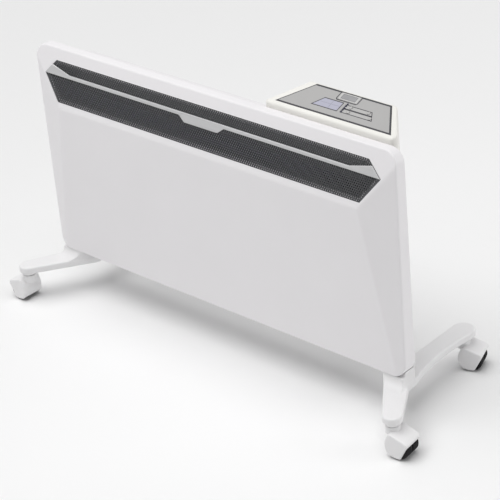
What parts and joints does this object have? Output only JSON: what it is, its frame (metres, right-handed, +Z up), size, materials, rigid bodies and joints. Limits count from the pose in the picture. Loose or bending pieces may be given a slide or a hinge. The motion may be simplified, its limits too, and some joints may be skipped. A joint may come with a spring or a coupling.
{
  "type": "wall panel convector heater",
  "caption": "Slim electric convector: faceted white front panel, long outlet grille, lift-out control unit at the top rear and two castored feet.",
  "frame": {"origin": "centre of the footprint, on the floor under the castors", "axes": "+X to the right as seen from the front, the front panel faces -Y, +Z up"},
  "size_m": [0.964, 0.3305, 0.5435],
  "materials": {
    "shell_white": "smooth matt white coat",
    "grille_charcoal": "matt charcoal coat",
    "trim_silver": "satin",
    "fin_aluminium": "mill finish",
    "bare_steel": "plain zinc",
    "ceramic_white": "glazed ceramic, shown as a matt white mineral",
    "foot_white": "moulded white",
    "control_cream": "moulded warm white",
    "moulded_black": "moulded black",
    "label_grey": "satin grey film",
    "window_smoke": "smoked",
    "lamp_blue": "dark blue",
    "board_green": "solder lacquer",
    "lead_grey": "flexible sleeve",
    "tread_black": "moulded"
  },
  "bodies": {
    "heater": {"front_panel": "shell_white", "rear_cover": "shell_white", "upper_grille": "grille_charcoal", "lower_grille": "grille_charcoal", "trim_strip": "trim_silver", "finned_profile": "fin_aluminium", "heating_rod": "bare_steel", "air_guide": "bare_steel", "element_bracket_left": "bare_steel", "element_bracket_right": "bare_steel", "case_screw_left_low": "bare_steel", "case_screw_left_high": "bare_steel", "case_screw_right_low": "bare_steel", "case_screw_right_high": "bare_steel", "foot_screw_left_front": "bare_steel", "foot_screw_left_rear": "bare_steel", "foot_screw_right_front": "bare_steel", "foot_screw_right_rear": "bare_steel", "end_insulator_left": "ceramic_white", "end_insulator_right": "ceramic_white", "foot_left": "foot_white", "foot_right": "foot_white", "terminal_block": "control_cream", "thermal_cutout": "moulded_black", "tilt_switch": "moulded_black", "supply_socket": "moulded_black", "supply_lead": "lead_grey", "element_lead": "lead_grey", "return_lead": "lead_grey"},
    "control_unit": {"control_housing": "control_cream", "control_base": "control_cream", "label_plate": "label_grey", "display_window": "window_smoke", "indicator_lamps": "lamp_blue", "circuit_board": "board_green", "board_relay": "moulded_black", "plug_block": "moulded_black", "rocker_frame": "moulded_black", "cord_gland": "control_cream"},
    "power_rocker": {"power_rocker": "moulded_black"},
    "key_mode": {"key_mode": "label_grey"},
    "key_timer": {"key_timer": "label_grey"},
    "key_minus": {"key_minus": "label_grey"},
    "key_plus": {"key_plus": "label_grey"},
    "castor_front_right": {"castor_hood_front_right": "foot_white", "castor_axle_front_right": "bare_steel"},
    "castor_wheel_front_right_a": {"castor_wheel_front_right_a": "tread_black"},
    "castor_wheel_front_right_b": {"castor_wheel_front_right_b": "tread_black"},
    "castor_rear_right": {"castor_hood_rear_right": "foot_white", "castor_axle_rear_right": "bare_steel"},
    "castor_wheel_rear_right_a": {"castor_wheel_rear_right_a": "tread_black"},
    "castor_wheel_rear_right_b": {"castor_wheel_rear_right_b": "tread_black"},
    "castor_front_left": {"castor_hood_front_left": "foot_white", "castor_axle_front_left": "bare_steel"},
    "castor_wheel_front_left_a": {"castor_wheel_front_left_a": "tread_black"},
    "castor_wheel_front_left_b": {"castor_wheel_front_left_b": "tread_black"},
    "castor_rear_left": {"castor_hood_rear_left": "foot_white", "castor_axle_rear_left": "bare_steel"},
    "castor_wheel_rear_left_a": {"castor_wheel_rear_left_a": "tread_black"},
    "castor_wheel_rear_left_b": {"castor_wheel_rear_left_b": "tread_black"}
  },
  "joints": [
    {"name": "control_unit_lift", "type": "slide", "parent": "heater", "child": "control_unit", "axis": [0, 0, 1], "range_m": [0, 0.03]},
    {"name": "key_mode_press", "type": "slide", "parent": "control_unit", "child": "key_mode", "axis": [0, 0.309, -0.9511], "range_m": [0, 0.0005], "stiffness_N_per_m": 2400, "springref_m": -0.0002},
    {"name": "key_timer_press", "type": "slide", "parent": "control_unit", "child": "key_timer", "axis": [0, 0.309, -0.9511], "range_m": [0, 0.0005], "stiffness_N_per_m": 2400, "springref_m": -0.0002},
    {"name": "key_minus_press", "type": "slide", "parent": "control_unit", "child": "key_minus", "axis": [0, 0.309, -0.9511], "range_m": [0, 0.0005], "stiffness_N_per_m": 2400, "springref_m": -0.0002},
    {"name": "key_plus_press", "type": "slide", "parent": "control_unit", "child": "key_plus", "axis": [0, 0.309, -0.9511], "range_m": [0, 0.0005], "stiffness_N_per_m": 2400, "springref_m": -0.0002},
    {"name": "power_rocker_tip", "type": "hinge", "parent": "control_unit", "child": "power_rocker", "pos_m": [0.14199, -0.01849, 0.495], "axis": [-0.6057, -0.7957, 0], "range_deg": [0, 16]},
    {"name": "castor_front_right_swivel", "type": "hinge", "parent": "heater", "child": "castor_front_right", "pos_m": [0.44049, -0.14339, 0.02], "axis": [0, 0, 1], "continuous": true},
    {"name": "castor_wheel_front_right_a_roll", "type": "hinge", "parent": "castor_front_right", "child": "castor_wheel_front_right_a", "pos_m": [0.45842, -0.14182, 0.02], "axis": [-0.0872, 0.9962, 0], "continuous": true},
    {"name": "castor_wheel_front_right_b_roll", "type": "hinge", "parent": "castor_front_right", "child": "castor_wheel_front_right_b", "pos_m": [0.45842, -0.14182, 0.02], "axis": [-0.0872, 0.9962, 0], "continuous": true},
    {"name": "castor_rear_right_swivel", "type": "hinge", "parent": "heater", "child": "castor_rear_right", "pos_m": [0.38049, 0.13262, 0.02], "axis": [0, 0, 1], "continuous": true},
    {"name": "castor_wheel_rear_right_a_roll", "type": "hinge", "parent": "castor_rear_right", "child": "castor_wheel_rear_right_a", "pos_m": [0.39751, 0.13847, 0.02], "axis": [-0.3256, 0.9455, 0], "continuous": true},
    {"name": "castor_wheel_rear_right_b_roll", "type": "hinge", "parent": "castor_rear_right", "child": "castor_wheel_rear_right_b", "pos_m": [0.39751, 0.13847, 0.02], "axis": [-0.3256, 0.9455, 0], "continuous": true},
    {"name": "castor_front_left_swivel", "type": "hinge", "parent": "heater", "child": "castor_front_left", "pos_m": [-0.44151, -0.14339, 0.02], "axis": [0, 0, 1], "continuous": true},
    {"name": "castor_wheel_front_left_a_roll", "type": "hinge", "parent": "castor_front_left", "child": "castor_wheel_front_left_a", "pos_m": [-0.4595, -0.14276, 0.02], "axis": [-0.0349, -0.9994, 0], "continuous": true},
    {"name": "castor_wheel_front_left_b_roll", "type": "hinge", "parent": "castor_front_left", "child": "castor_wheel_front_left_b", "pos_m": [-0.4595, -0.14276, 0.02], "axis": [-0.0349, -0.9994, 0], "continuous": true},
    {"name": "castor_rear_left_swivel", "type": "hinge", "parent": "heater", "child": "castor_rear_left", "pos_m": [-0.38151, 0.13262, 0.02], "axis": [0, 0, 1], "continuous": true},
    {"name": "castor_wheel_rear_left_a_roll", "type": "hinge", "parent": "castor_rear_left", "child": "castor_wheel_rear_left_a", "pos_m": [-0.39882, 0.13758, 0.02], "axis": [-0.2756, -0.9613, 0], "continuous": true},
    {"name": "castor_wheel_rear_left_b_roll", "type": "hinge", "parent": "castor_rear_left", "child": "castor_wheel_rear_left_b", "pos_m": [-0.39882, 0.13758, 0.02], "axis": [-0.2756, -0.9613, 0], "continuous": true}
  ]
}
